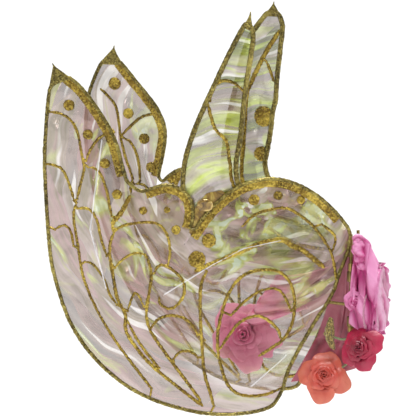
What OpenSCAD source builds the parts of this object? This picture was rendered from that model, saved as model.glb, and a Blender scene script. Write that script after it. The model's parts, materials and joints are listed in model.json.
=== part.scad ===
// Fairy wings: two wire-framed film wings on a padded back plate, each turning on its own root rod,
// with a satin and rose dressing over the plate. The wearer faces +X, the wings trail towards -X.

/* [Wing pose] */
// Angle of each wing from the middle plane at rest, degrees
rest_angle = 16; // [8:1:24]
// Radius that each wing bows to, seen from above
bow_radius = 700; // [500:10:1200]
// How far the upper petal sits inside the main film
petal_gap = 6; // [4:0.5:8]

/* [Wire, film and glitter] */
// Diameter of the frame wire with its glitter coat
wire_d = 4.2; // [3.2:0.1:5]
// Diameter of the upper petal's wire
petal_wire_d = 3.4; // [2.6:0.1:4]
// Thickness of the film
film_t = 0.5; // [0.3:0.1:0.8]
// Width of the glitter bands along the upper margins
band_w = 8; // [5:0.5:10]
// Width of a glitter vein
vein_w = 2.5; // [1.8:0.1:3.5]
// Height of a glitter vein through the film
vein_h = 1.9; // [1.4:0.1:2.6]

/* [Harness] */
// Width of the back plate
plate_w = 58; // [50:1:60]
// Thickness of the padded face
pad_t = 6; // [4:0.5:8]
// Thickness of the board behind the pad
board_t = 3; // [2:0.5:4]
// Distance of each root rod behind the wearer's back
rod_back = 30; // [28:1:34]
// Distance of each root rod from the middle plane
rod_side = 15; // [13:1:17]
// Diameter of a root rod
rod_d = 3.2; // [2.6:0.1:3.6]
// Radial clearance of a rod in its clips
rod_clearance = 0.05; // [0.02:0.01:0.1]

/* [Hidden] */
bow_mid = 150;
bow_drop = sqrt(bow_radius * bow_radius - bow_mid * bow_mid);
plate_top = 20;
plate_bottom = -45;
rod_top = 54;
rod_bottom = -46;
clip_h = 10;
clip_upper_z = 6;
clip_lower_z = -40;
barrel_r = 4;
curve_step = 8;
$fn = 48;

// Places on a wing are [out from the root rod, up], in millimetres.
// Margins of the right wing, each from one corner to the next, going round from the petal's tip.
right_petal_margin = [[298, 224], [284, 214], [268, 200], [248, 172], [236, 148], [229, 122], [222, 98]];
right_lobe_margin = [[222, 98], [207, 100], [188, 106], [173, 103], [162, 93], [159, 78], [162, 62],
    [168, 45]];
right_round_margin = [[168, 45], [157, 61], [144, 79], [127, 95], [107, 107], [82, 112], [60, 108],
    [37, 96],
    [17, 78], [3, 60], [1, 50], [3, 38], [9, 22], [15, 5], [16, 0]];
root_margin = [[16, 0], [24, -15], [37, -35], [52, -61], [63, -83], [68, -101], [68, -113]];
right_outer_margin = [[68, -113], [89, -123], [117, -127], [147, -126], [172, -121], [203, -111],
    [234, -93],
    [261, -68], [282, -37], [294, -5], [302, 28], [305, 61], [307, 96], [308, 131], [306, 167], [303, 197],
    [298, 224]];
// The left wing was bent by hand too: its petal leans further out, and its round lobe is lower.
left_petal_margin = [[297, 224], [290, 211], [272, 190], [248, 162], [239, 138], [242, 114], [246, 97],
    [250, 78]];
left_lobe_margin = [[250, 78], [238, 89], [226, 98], [212, 100], [198, 94], [184, 74], [168, 45]];
left_round_margin = [[168, 45], [157, 60], [144, 75], [127, 87], [108, 93], [84, 92], [62, 84], [41, 72],
    [24, 58], [12, 45], [6, 40], [4, 34], [9, 22], [15, 5], [16, 0]];
left_outer_margin = [[68, -113], [90, -121], [117, -124], [147, -123], [172, -119], [202, -107], [232, -88],
    [257, -63], [279, -32], [294, -2], [306, 30], [316, 61], [324, 96], [328, 131], [325, 172], [312, 206],
    [297, 224]];
// Each upper petal's free edge, then its two sides down to its foot at the root rod.
right_petal_outer = [[102, 276], [120, 243], [139, 203], [157, 162], [168, 124], [167, 88], [150, 52],
    [112, 24], [60, 16], [16, 26]];
right_petal_inner = [[102, 276], [99, 256], [101, 236], [107, 199], [111, 159], [116, 122], [110, 98],
    [86, 78], [50, 64], [16, 54]];
left_petal_outer = [[106, 278], [132, 248], [144, 223], [152, 192], [160, 160], [166, 124], [166, 88],
    [150, 52], [112, 24], [60, 16], [16, 26]];
left_petal_inner = [[106, 278], [95, 259], [97, 236], [101, 206], [103, 181], [107, 166], [109, 149],
    [113, 128],
    [116, 111], [109, 95], [86, 78], [50, 64], [16, 54]];
petal_foot = [[16, 54], [12, 46], [12, 34], [16, 26]];

// Glitter veins of the lobes, on both wings: each is [width as a share of vein_w, points]. The ribs come
// first, and each later vein stops just short of any that it meets.
lobe_veins = [
    [1.0, [[276, 87], [279, 73], [275, 46], [270, 14], [259, -15], [243, -44], [227, -67], [201, -101]]],
    [1.3, [[238, 58], [242, 46], [242, 30], [238, 5], [235, -10], [227, -26], [226, -44], [206, -72],
        [182, -93], [150, -118]]],
    [1.2, [[205, 33], [201, 17], [202, 3], [206, -23], [203, -39], [193, -56], [166, -93], [152, -112]]],
    [2.2, [[157, 19], [125, 33], [106, 41], [90, 47], [70, 50], [60, 44], [49, 39], [39, 31], [27, 21]]],
    [1.2, [[141, 24], [149, 12], [152, -7], [151, -40], [148, -82], [142, -104], [138, -119]]],
    [1.2, [[134, -64], [134, -42], [126, -10], [113, 11], [97, 19], [76, 19], [63, 9], [57, -10], [59, -34],
        [68, -51], [79, -59], [93, -68]]],
    [1.2, [[134, -64], [129, -85], [121, -101], [108, -108], [89, -108], [74, -103]]],
    [1.1, [[199, 14], [193, 25], [182, 22], [169, 9], [169, -7], [180, -19], [192, -15], [193, -7]]],
    [2.0, [[222, 95], [230, 79], [239, 68], [240, 60]]],
    [1.0, [[275, 81], [264, 81], [256, 71], [250, 46], [243, 27]]],
    [0.9, [[298, 59], [288, 64], [282, 58], [279, 43]]],
    [0.9, [[268, 27], [260, 25], [249, 11], [242, -7], [230, -23]]],
    [1.0, [[238, 60], [227, 65], [211, 68], [195, 67], [186, 58], [182, 41], [184, 25]]],
    [0.9, [[241, 17], [230, 30], [217, 37], [205, 35]]],
    [1.1, [[203, -42], [195, -31], [182, -26], [166, -30], [156, -42], [152, -53]]],
    [1.0, [[181, -74], [172, -63], [161, -63], [154, -69]]],
    [0.9, [[226, -26], [217, -3], [206, -23]]],
    [1.0, [[226, -30], [214, -53], [193, -80], [173, -98]]],
    [1.1, [[134, -64], [126, -51], [113, -34], [97, -27], [84, -31], [73, -42], [71, -50]]],
    [0.9, [[121, -26], [105, -10], [87, 0], [71, -2], [60, -23]]]
];
right_only_veins = [
    [1.1, [[110, 64], [97, 76], [81, 81], [65, 82], [47, 71], [34, 58], [20, 35], [15, 9]]],
    [1.0, [[30, 65], [16, 52], [20, 35]]],
    [1.0, [[303, 178], [288, 175], [276, 162], [270, 134], [268, 121], [272, 105], [276, 87]]],
    [1.0, [[268, 123], [262, 140], [251, 154], [238, 159]]],
    [1.0, [[303, 125], [291, 121], [283, 105], [278, 87]]],
    [1.0, [[268, 123], [255, 121], [247, 105], [242, 81], [239, 68]]]
];
left_only_veins = [
    [1.1, [[110, 56], [97, 66], [84, 70], [68, 69], [50, 60], [36, 48], [22, 31], [15, 9]]],
    [1.0, [[312, 181], [300, 170], [294, 160], [291, 141], [290, 131], [284, 108], [276, 87]]],
    [1.0, [[290, 131], [269, 151], [255, 156], [248, 156]]],
    [1.0, [[290, 131], [278, 125], [270, 107], [268, 85]]]
];
right_upper_veins = [
    [1.3, [[142, 190], [139, 204], [130, 210], [120, 209], [112, 203]]],
    [1.3, [[144, 186], [137, 162], [126, 150], [122, 126], [119, 106], [104, 80], [62, 48], [24, 38]]]
];
left_upper_veins = [
    [2.0, [[99, 251], [117, 226], [133, 197], [139, 183], [142, 143], [144, 93], [126, 63], [70, 44],
        [24, 38]]],
    [1.2, [[117, 223], [110, 210], [106, 200]]]
];
// Raised glitter dots: [out, up, radius].
right_dot_places = [[283, 185, 5], [264, 156, 4.5], [247, 127, 4.5], [235, 96, 4.5], [209, 80, 3.5],
    [185, 81, 2.6], [176, 61, 4], [155, 31, 8], [143, 50, 6.5], [98, 91, 5], [74, 95, 4], [51, 90, 3.5]];
left_dot_places = [[296, 187, 6], [281, 156, 5], [263, 130, 5], [255, 100, 5], [209, 80, 3.5],
    [185, 81, 2.6], [155, 31, 8], [143, 50, 6.5], [98, 76, 4.5], [76, 76, 4]];
right_gusset_outline = [[168, 47], [159, 70], [157, 94], [140, 99], [117, 103], [127, 92], [144, 75],
    [157, 57]];
left_gusset_outline = [[168, 47], [159, 68], [156, 88], [142, 93], [124, 94], [130, 84], [144, 73],
    [157, 57]];
left_upper_dots = [[118, 162, 10], [121, 123, 7]];

// A smooth curve through points, with a point at least every curve_step.
function bent(a, b, c, d, t) = 0.5 * (2 * b + (c - a) * t + (2 * a - 5 * b + 4 * c - d) * t * t
    + (3 * b - a - 3 * c + d) * t * t * t);
function smooth(p, step = curve_step) = [
    for (i = [0 : len(p) - 2])
        let (a = p[max(i - 1, 0)], b = p[i], c = p[i + 1], d = p[min(i + 2, len(p) - 1)],
            n = ceil(norm(c - b) / step))
        for (k = [0 : n - 1]) bent(a, b, c, d, k / n),
    p[len(p) - 1]
];
// The bowed surface of a wing, r being its radius, and the way out of it.
function on_bow(p, r) = [p[0], sqrt(r * r - pow(p[0] - bow_mid, 2)) - bow_drop, p[1]];
function bow_normal(p, r) = [p[0] - bow_mid, sqrt(r * r - pow(p[0] - bow_mid, 2)), 0] / r;
function unit(v) = v / norm(v);
function ring_section(across, through, sides) = [
    for (i = [0 : sides - 1])
        [across / 2 * cos(360 * (i + 0.5) / sides), through / 2 * sin(360 * (i + 0.5) / sides)]
];
function diamond(across, through) = [[across / 2, 0], [0, through / 2], [-across / 2, 0],
    [0, -through / 2]];
function trimmed(outline) = [for (i = [0 : len(outline) - 2]) outline[i]];
function turned_back(p) = [for (i = [len(p) - 1 : -1 : 0]) p[i]];

// A section swept along a path of points, with its second axis along the given normals. A loop joins its
// own start.
module sweep(path, normals, section, loop = false, taper = 1) {
    n = len(path);
    m = len(section);
    rings = [
        for (i = [0 : n - 1])
            let (before = path[loop ? (i + n - 1) % n : max(i - 1, 0)],
                after = path[loop ? (i + 1) % n : min(i + 1, n - 1)],
                side = unit(cross(unit(after - before), normals[i])),
                size = !loop && (i == 0 || i == n - 1) ? taper : 1)
            for (s = section) path[i] + (side * s[0] + normals[i] * s[1]) * size
    ];
    walls = [
        for (i = [0 : n - (loop ? 1 : 2)]) for (j = [0 : m - 1])
            [i * m + j, i * m + (j + 1) % m, ((i + 1) % n) * m + (j + 1) % m, ((i + 1) % n) * m + j]
    ];
    ends = loop ? [] : [[for (j = [m - 1 : -1 : 0]) j], [for (j = [0 : m - 1]) (n - 1) * m + j]];
    polyhedron(points = rings, faces = [for (f = concat(walls, ends)) turned_back(f)]);
}

// One wire bent round a closed outline, turning each corner short of its point by that corner's cut.
function between(path, a, b) = [
    for (p = path) if (norm(p - path[0]) >= a && norm(p - path[len(path) - 1]) >= b) p
];
module wire_loop(margins, cuts, r, d) {
    n = len(margins);
    path = [
        for (i = [0 : n - 1])
            for (p = between(smooth(margins[i], 7), cuts[i], cuts[(i + 1) % n])) p
    ];
    sweep([for (p = path) on_bow(p, r)], [for (p = path) bow_normal(p, r)], ring_section(d, d, 6), true);
}
// The points of a vein of one half width that keep clear of the veins laid before it.
function clear_of(path, half, laid) = [
    for (p = path) if (len([for (v = laid) for (q = v[1]) if (norm(p - q) < half + v[0] + 0.3) 1]) == 0) p
];
// About one point in each step of a path whose own points are 1 mm apart, with both ends kept.
function thinned(path, step) =
    let (last = len(path) - 1, n = max(1, round(last / step))) [for (i = [0 : n]) path[round(i * last / n)]];
module vein_set(veins, r) {
    halves = [for (v = veins) v[0] * vein_w / 2];
    for (i = [0 : len(veins) - 1]) {
        laid = [for (j = [0 : 1 : i - 1]) [halves[j], smooth(veins[j][1], 2)]];
        path = thinned(clear_of(smooth(veins[i][1], 1), halves[i], laid), 6);
        sweep([for (p = path) on_bow(p, r)], [for (p = path) bow_normal(p, r)],
            diamond(2 * halves[i], vein_h),
            taper = 0.5);
    }
}

// A sheet cut to an outline and lying on the wing's bow.
module bowed_sheet(outline, r, thickness) {
    intersection() {
        translate([0, 60, 0]) rotate([90, 0, 0]) linear_extrude(120) polygon(outline);
        translate([bow_mid, -bow_drop, -150])
            difference() {
                cylinder(r = r + thickness / 2, h = 460, $fn = 720);
                translate([0, 0, -1]) cylinder(r = r - thickness / 2, h = 462, $fn = 720);
            }
    }
}

// Puts a wing's own frame on the harness: the right wing on the -Y side, the left one its mirror.
module on_right() {
    translate([-rod_back, -rod_side, 0]) rotate([0, 0, 180 + rest_angle]) children();
}
module on_left() {
    mirror([0, 1, 0]) on_right() children();
}

module root_rod() {
    color("darkgoldenrod") {
        translate([0, 0, rod_bottom]) cylinder(d = rod_d, h = rod_top - rod_bottom);
        translate([0, 0, -18]) rotate([0, 83, -3]) cylinder(d = rod_d, h = 24);
    }
}
// A crimped sleeve above the upper clip and a cap below the lower one keep the rod in its clips.
module rod_caps() {
    color("goldenrod") {
        translate([0, 0, clip_upper_z + clip_h + 0.5]) rod_ring(3, 8);
        translate([0, 0, rod_bottom + 1]) rod_ring(3, 4.5);
    }
}
module rod_ring(r, h) {
    difference() {
        cylinder(r = r, h = h);
        translate([0, 0, -1]) cylinder(d = rod_d, h = h + 2);
    }
}
module frame_wire(petal_margin, lobe_margin, round_side, outer_margin) {
    color("darkgoldenrod")
        wire_loop([petal_margin, lobe_margin, round_side, root_margin, outer_margin], [12, 6, 17, 0, 6],
            bow_radius, wire_d);
}
module main_film(petal_margin, lobe_margin, round_side, outer_margin) {
    color("thistle", 0.6)
        bowed_sheet(concat(trimmed(smooth(petal_margin)), trimmed(smooth(lobe_margin)),
            trimmed(smooth(round_side)), trimmed(smooth(root_margin)), trimmed(smooth(outer_margin))),
            bow_radius, film_t);
}
module margin_bands(petal_margin, lobe_margin, round_side) {
    band_t = 1.5;
    section = [[0, -band_t / 2], [band_w, -band_t / 2], [band_w, band_t / 2], [0, band_t / 2]];
    color("darkkhaki")
        for (m = [petal_margin, lobe_margin, [for (i = [0 : 9]) round_side[i]]]) {
            path = between(smooth(m), 12, 12);
            sweep([for (p = path) on_bow(p, bow_radius)],
                [for (p = path) bow_normal(p, bow_radius)], section);
        }
}
module veins(petal_veins) {
    color("goldenrod") vein_set(concat(lobe_veins, petal_veins), bow_radius);
}
module dots(places, upper_places) {
    color("gold") {
        for (d = places) dot(d, bow_radius);
        for (d = upper_places) dot(d, bow_radius - petal_gap);
    }
}
module dot(d, r) {
    translate(on_bow(d, r)) rotate([90, 0, asin((bow_mid - d[0]) / r)])
        cylinder(r = d[2], h = 3, center = true);
}
module gusset(outline) {
    color("saddlebrown") bowed_sheet(outline, bow_radius - 1.2, 0.8);
}
module cabochon() {
    color("sienna")
        translate(on_bow([147, 86], bow_radius - 0.6)) rotate([-90, 0, 0]) {
            translate([-2, 0, 0]) cylinder(r = 6.5, h = 4);
            translate([2, 0, 0]) cylinder(r = 6.5, h = 4);
        }
}
module petal_film(inner, outer) {
    color("palegoldenrod", 0.6)
        bowed_sheet(concat(trimmed(smooth(inner)), trimmed(smooth(petal_foot)),
            trimmed(smooth(turned_back(outer)))), bow_radius - petal_gap, film_t);
}
module petal_wire(inner, outer) {
    color("darkgoldenrod")
        wire_loop([inner, petal_foot, turned_back(outer)], [9, 0, 0], bow_radius - petal_gap, petal_wire_d);
}
module upper_veins(veins) {
    color("goldenrod") vein_set(veins, bow_radius - petal_gap);
}
// Two small sleeves bind the upper petal's foot to the root rod.
module petal_ties() {
    color("gold")
        for (z = [32, 46])
            translate([5.5, -2.5, z]) rotate([90, 0, 62]) cylinder(r = 1.2, h = 14, center = true);
}

// Harness
module shield(w, low, high, t) {
    r = w / 2;
    corner = 14;
    rotate([90, 0, 90]) linear_extrude(t) {
        translate([0, high - r]) circle(r = r);
        translate([-r, low + corner]) square([w, high - low - r - corner]);
        translate([-r + corner, low]) square([w - 2 * corner, corner + 1]);
        for (s = [-1, 1]) translate([s * (r - corner), low + corner]) circle(r = corner);
    }
}
module back_pad() {
    color("hotpink") translate([-pad_t, 0, 0]) shield(plate_w, plate_bottom, plate_top, pad_t);
}
module back_board() {
    color("lightpink")
        translate([-pad_t - board_t, 0, 0]) shield(plate_w - 4, plate_bottom + 2, plate_top - 2, board_t);
}
module clip(z) {
    foot = -pad_t - board_t;
    foot_t = 2.5;
    arm_w = 4;
    color("silver") translate([0, 0, z]) {
        translate([foot - foot_t, -9, 0]) cube([foot_t, 18, clip_h]);
        difference() {
            union() {
                translate([-rod_back, -arm_w / 2, 0]) cube([rod_back + foot, arm_w, clip_h]);
                translate([-rod_back, 0, 0]) cylinder(r = barrel_r, h = clip_h);
            }
            translate([-rod_back, 0, -1]) cylinder(d = rod_d + 2 * rod_clearance, h = clip_h + 2);
        }
    }
}
module clip_upper_right() {
    translate([0, -rod_side, 0]) clip(clip_upper_z);
}
module clip_lower_right() {
    translate([0, -rod_side, 0]) clip(clip_lower_z);
}
module clip_upper_left() {
    translate([0, rod_side, 0]) clip(clip_upper_z);
}
module clip_lower_left() {
    translate([0, rod_side, 0]) clip(clip_lower_z);
}
module rivets() {
    head_x = -pad_t - board_t - 2.5;
    color("gainsboro")
        for (z = [clip_upper_z, clip_lower_z], side = [-1, 1], edge = [-5.5, 5.5])
            translate([head_x, side * rod_side + edge, z + clip_h / 2]) rotate([0, 90, 0]) {
                translate([0, 0, -1]) cylinder(r = 2.2, h = 1.2);
                cylinder(r = 1.1, h = board_t + 2.5);
            }
}
// A relaxed elastic arm loop, lying beside the plate with both ends sewn to the board's back.
module strap(side) {
    route = smooth([[25, -8], [34, -5], [43, -11], [46, -21], [43, -32], [35, -36], [25, -31]], 6);
    behind = -pad_t - board_t - 0.4;
    section = ring_section(6, 1.6, 4);
    color("mistyrose")
        sweep([for (p = route) [behind, side * p[0], p[1]]],
            [for (i = [1 : len(route)]) [1, 0, 0]], section);
}

// Satin and roses
module soft_lump(balls) {
    hull() for (b = balls) translate([b[0], b[1], b[2]]) sphere(r = b[3], $fn = 14);
}
module puff_top() {
    color("orchid") soft_lump([[-17, -27, 42, 9], [-13, -27, 31, 9], [-20, -29, 51, 4]]);
}
module puff_side() {
    color("hotpink") soft_lump([[-17, -29, 17, 7], [-16, -28, -4, 7.3], [-17, -28, -16, 6]]);
}
module puff_swirl() {
    color("violet") soft_lump([[-18, -28, -27, 6], [-17, -36, -25, 5.5]]);
}
module satin_sash() {
    color("orchid")
        soft_lump([[-14.2, 0, 6, 5.4], [-42, 0, 22, 6], [-82, 0, 30, 9], [-110, 2, -8, 9],
            [-136, 2, -40, 6]]);
}
module satin_tail() {
    color("palevioletred") soft_lump([[-34, 0, 0, 5], [-48, -2, -56, 7], [-50, 1, -78, 5]]);
}
module satin_rosette() {
    color("pink") translate([-146, 2, -57]) rotate([90, 0, 0]) cylinder(r = 22, h = 18, center = true);
}
// A cupped silk rose that opens towards -Y.
module rose(r, depth) {
    rotate([90, 0, 0])
        rotate_extrude() polygon([[0, 0], [r * 0.35, 0], [r * 0.8, depth * 0.45], [r, depth * 0.8],
            [r * 0.85, depth], [0, depth * 0.85]]);
}
module rose_crimson() {
    color("crimson") translate([-11, -33, -58]) rotate([0, 0, 8]) rose(20, 18);
}
module rose_coral() {
    color("salmon") translate([-56, -20, -90]) rotate([0, 0, 8]) rose(25, 20);
}
// Covered wires from the board's lower edge to both roses and the leaf.
module rose_stem() {
    color("darkolivegreen") {
        stem([[-7.5, -11, -40], [-8, -18, -49], [-10, -27, -57], [-11, -34, -58]]);
        stem([[-7.5, -3, -40], [-18, -6, -62], [-38, -12, -82], [-54, -22, -88]]);
        stem([[-7.5, -7, -40], [-22, -9, -52], [-40, -18, -53], [-49, -25, -48]]);
    }
}
module stem(points) {
    path = smooth(points, 7);
    sweep(path, [for (i = [1 : len(path)]) unit([-0.2, 0.98, 0.1])], ring_section(2.4, 2.4, 6));
}
module rose_leaf() {
    color("olivedrab") soft_lump([[-46, -22, -62, 2], [-51, -26, -46, 4], [-48, -24, -32, 2]]);
}

back_pad();
back_board();
clip_upper_right();
clip_lower_right();
clip_upper_left();
clip_lower_left();
rivets();
strap(-1);  // strap_right
strap(1);  // strap_left
puff_top();
puff_side();
puff_swirl();
satin_tail();
satin_sash();
satin_rosette();
rose_crimson();
rose_coral();
rose_stem();
rose_leaf();
on_right() root_rod();  // right_root_rod
on_right() rod_caps();  // right_rod_caps
on_right() frame_wire(right_petal_margin, right_lobe_margin, right_round_margin, right_outer_margin);  // right_frame_wire
on_right() main_film(right_petal_margin, right_lobe_margin, right_round_margin, right_outer_margin);  // right_film
on_right() margin_bands(right_petal_margin, right_lobe_margin, right_round_margin);  // right_margin_bands
on_right() veins(right_only_veins);  // right_veins
on_right() dots(right_dot_places, []);  // right_dots
on_right() gusset(right_gusset_outline);  // right_gusset
on_right() cabochon();  // right_cabochon
on_right() petal_film(right_petal_inner, right_petal_outer);  // right_petal_film
on_right() petal_wire(right_petal_inner, right_petal_outer);  // right_petal_wire
on_right() upper_veins(right_upper_veins);  // right_petal_veins
on_right() petal_ties();  // right_petal_ties
on_left() root_rod();  // left_root_rod
on_left() rod_caps();  // left_rod_caps
on_left() frame_wire(left_petal_margin, left_lobe_margin, left_round_margin, left_outer_margin);  // left_frame_wire
on_left() main_film(left_petal_margin, left_lobe_margin, left_round_margin, left_outer_margin);  // left_film
on_left() margin_bands(left_petal_margin, left_lobe_margin, left_round_margin);  // left_margin_bands
on_left() veins(left_only_veins);  // left_veins
on_left() dots(left_dot_places, left_upper_dots);  // left_dots
on_left() gusset(left_gusset_outline);  // left_gusset
on_left() cabochon();  // left_cabochon
on_left() petal_film(left_petal_inner, left_petal_outer);  // left_petal_film
on_left() petal_wire(left_petal_inner, left_petal_outer);  // left_petal_wire
on_left() upper_veins(left_upper_veins);  // left_petal_veins
on_left() petal_ties();  // left_petal_ties
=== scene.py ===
import heapq
import json
import math

import bmesh
import bpy
from mathutils import Matrix, Vector, kdtree, noise
from mathutils.geometry import delaunay_2d_cdt


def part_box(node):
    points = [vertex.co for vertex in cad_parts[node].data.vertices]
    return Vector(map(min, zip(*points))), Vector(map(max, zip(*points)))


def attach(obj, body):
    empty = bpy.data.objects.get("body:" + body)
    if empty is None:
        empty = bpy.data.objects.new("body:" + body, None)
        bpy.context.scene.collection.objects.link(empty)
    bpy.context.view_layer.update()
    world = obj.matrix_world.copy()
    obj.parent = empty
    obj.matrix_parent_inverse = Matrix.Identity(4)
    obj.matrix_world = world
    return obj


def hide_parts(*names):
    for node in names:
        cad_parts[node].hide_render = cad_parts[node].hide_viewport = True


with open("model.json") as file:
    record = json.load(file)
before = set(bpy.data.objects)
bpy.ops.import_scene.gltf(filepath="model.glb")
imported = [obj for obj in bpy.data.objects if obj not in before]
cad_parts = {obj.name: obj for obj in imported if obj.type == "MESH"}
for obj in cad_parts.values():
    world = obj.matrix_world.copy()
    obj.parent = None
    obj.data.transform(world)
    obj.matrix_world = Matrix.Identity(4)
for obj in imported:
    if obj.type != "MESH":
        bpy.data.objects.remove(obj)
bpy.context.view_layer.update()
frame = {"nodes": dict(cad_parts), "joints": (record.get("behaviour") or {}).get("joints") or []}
nodes = frame["nodes"]
hinges = {joint["child"]: joint for joint in frame["joints"]}


# Wing films. Each wing is one sheet of clear cellophane with a rainbow coating, glued over a bent wire
# outline and bowed a little as the wire springs. It creases finely wherever it was pulled tight, is painted white
# along a hard crease, partly as the crease's own whitening and partly as a painted highlight, and lies flat along the
# wire and under each line of glitter glue.
rest_turn = math.radians(16)
bow_radius = 0.700
bow_mid = 0.150
petal_gap = 0.006
film_step = 0.0034
wing_swirl = (0.105, 0.125)
petal_swirl = (0.060, -0.100)


def hand(side):
    return -1 if side == "right" else 1


def wing_spot(side, u, w, lift=0.0, radius=bow_radius):
    """The place in the object of a point u out from the root rod, w up and lift off the bowed film."""
    hinge = Vector(hinges[side + "_wing"]["pos_m"])
    along = Vector((-math.cos(rest_turn), hand(side) * math.sin(rest_turn), 0))
    outward = Vector((math.sin(rest_turn), hand(side) * math.cos(rest_turn), 0))
    drop = math.sqrt(bow_radius ** 2 - bow_mid ** 2)
    reach = radius + lift
    ratio = (u - bow_mid) / radius
    place = hinge + along * (bow_mid + reach * ratio)
    return place + outward * (reach * math.sqrt(1 - ratio ** 2) - drop) + Vector((0, 0, w))


def wing_flat(side, place):
    """Undoes wing_spot for a point on the film: how far out from the root rod, and how far up."""
    hinge = Vector(hinges[side + "_wing"]["pos_m"])
    along = Vector((-math.cos(rest_turn), hand(side) * math.sin(rest_turn), 0))
    return (place - hinge).dot(along), place.z


def cut_edge(side, node):
    """The outline that a film sheet was cut to, as one loop of flat points."""
    mesh = nodes[node].data
    outward = Vector((math.sin(rest_turn), hand(side) * math.cos(rest_turn), 0))
    keys = [tuple(round(c * 20000) for c in v.co) for v in mesh.vertices]
    flat = {k: wing_flat(side, v.co) for k, v in zip(keys, mesh.vertices)}
    uses = {}
    for face in mesh.polygons:
        if face.normal.dot(outward) > 0.5:
            ring = [keys[i] for i in face.vertices]
            for a, b in zip(ring, ring[1:] + ring[:1]):
                if a != b:
                    edge = (min(a, b), max(a, b))
                    uses[edge] = uses.get(edge, 0) + 1
    follow = {}
    for (a, b), count in uses.items():
        if count == 1:
            follow.setdefault(a, []).append(b)
            follow.setdefault(b, []).append(a)
    start = next(iter(follow))
    loop, here, before = [start], follow[start][0], start
    while here != start and len(loop) < 2000:
        loop.append(here)
        onward = [n for n in follow[here] if n != before]
        here, before = onward[0], here
    outline = [Vector(flat[loop[0]])]
    for k in loop[1:]:
        if (Vector(flat[k]) - outline[-1]).length > 0.001:
            outline.append(Vector(flat[k]))
    return outline


def inside(outline, p):
    crossings = 0
    for a, b in zip(outline, outline[1:] + outline[:1]):
        if (a.y > p.y) != (b.y > p.y) and p.x < a.x + (p.y - a.y) / (b.y - a.y) * (b.x - a.x):
            crossings += 1
    return crossings % 2 == 1


def near_tree(points):
    tree = kdtree.KDTree(len(points))
    for i, p in enumerate(points):
        tree.insert((p[0], p[1], 0), i)
    tree.balance()
    return tree


def clipped(edge):
    """An outline with its outer corners cut off, as the film is trimmed where the wire turns round."""
    size = len(edge)
    sharp = []
    for i, p in enumerate(edge):
        a = next(edge[i - k] for k in range(1, size) if (edge[i - k] - p).length > 0.011)
        b = next(edge[(i + k) % size] for k in range(1, size) if (edge[(i + k) % size] - p).length > 0.011)
        if (a - p).angle(b - p) < math.radians(135) and inside(edge, (a + b) / 2):
            sharp.append(((a - p).angle(b - p), i))
    corners = []
    for _, i in sorted(sharp):
        if all((edge[i] - c).length > 0.012 for c in corners):
            corners.append(edge[i])
    return [p for p in edge if all((p - c).length > 0.0095 for c in corners)]


def pulled_folds(u, w, swirl, seed):
    """The height of the long folds that run round a centre, and of the short ones across them."""
    du, dw = u - swirl[0], w - swirl[1]
    r = math.hypot(du, dw)
    turn = math.atan2(dw, du)
    sweep = Vector((math.cos(turn), math.sin(turn), 0)) * 1.7
    drift = noise.noise(Vector((u * 16, w * 16, seed))) * 0.012
    height = 0
    for wide, deep, shift in ((0.019, 1.0, 0), (0.010, 0.6, 5), (0.0055, 0.22, 9)):
        n = noise.noise(sweep + Vector((shift, seed, (r + drift) / wide)))
        height += deep * (0.45 - abs(n)) * 0.0028
    return height + 0.0008 * noise.noise(Vector((u * 90, w * 90, seed)))


def stretched_film(name, side, node, held_down, radius, swirl, seed, hard_creases=()):
    """The film of one wing or petal as a fine sheet inside the node's cut edge."""
    edge = clipped(cut_edge(side, node))
    holds = near_tree([wing_flat(side, v.co) for n in held_down for v in nodes[n].data.vertices])
    rims = near_tree(edge)
    low = [min(p[i] for p in edge) for i in (0, 1)]
    high = [max(p[i] for p in edge) for i in (0, 1)]
    points = list(edge)
    crease_white_and_highlight = {}
    ridge = []
    for line in hard_creases:
        for a, b in zip(line, line[1:]):
            a, b = Vector(a), Vector(b)
            count = max(2, int((b - a).length / 0.002))
            across = (b - a).orthogonal().normalized() * 0.0011
            for k in range(count):
                p = a.lerp(b, k / count)
                for q, white in ((p, 1.0), (p + across, 0.0), (p - across, 0.0)):
                    if inside(edge, q):
                        crease_white_and_highlight[len(points)] = white
                        points.append(q)
                        ridge.append(q)
    ridges = near_tree(ridge)
    row = 0
    w = low[1]
    while w < high[1]:
        u = low[0] + (row % 2) * film_step / 2
        while u < high[0]:
            p = Vector((u, w))
            clear = not ridge or ridges.find((u, w, 0))[2] > 0.0018
            if clear and rims.find((u, w, 0))[2] > film_step * 0.6 and inside(edge, p):
                points.append(p)
            u += film_step
        w += film_step * 0.866
        row += 1
    flat, _, faces, *_ = delaunay_2d_cdt(points, [], [list(range(len(edge)))], 1, 1e-6)
    whitening_and_highlight_points = near_tree([points[i] for i, white in crease_white_and_highlight.items() if white] or [Vector((9, 9))])
    rims = near_tree([edge[i].lerp(edge[(i + 1) % len(edge)], k / 4) for i in range(len(edge)) for k in range(4)])
    film = bmesh.new()
    # Points on a hard crease are marked: the film is raised there and painted white and opaque, partly as the crease's
    # own whitening and partly as a painted highlight.
    crease = film.verts.layers.float.new("crease")
    for p in flat:
        free = min(1, rims.find((p.x, p.y, 0))[2] / 0.014)
        glued = min(1, holds.find((p.x, p.y, 0))[2] / 0.013)
        hard = 1 if whitening_and_highlight_points.find((p.x, p.y, 0))[2] < 0.0004 else 0
        lift = free * (0.12 + 0.88 * glued) * pulled_folds(p.x, p.y, swirl, seed) + 0.0014 * free * glued ** 2
        film.verts.new(wing_spot(side, p.x, p.y, lift + 0.0013 * hard, radius))[crease] = hard
    film.verts.ensure_lookup_table()
    for face in faces:
        film.faces.new([film.verts[i] for i in face]).smooth = True
    bmesh.ops.recalc_face_normals(film, faces=film.faces)
    mesh = bpy.data.meshes.new(name)
    area = sum(face.calc_area() for face in film.faces)
    film.to_mesh(mesh)
    sheet = bpy.data.objects.new(name, mesh)
    bpy.context.scene.collection.objects.link(sheet)
    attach(sheet, side + "_wing")
    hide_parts(node)
    return sheet


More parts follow.
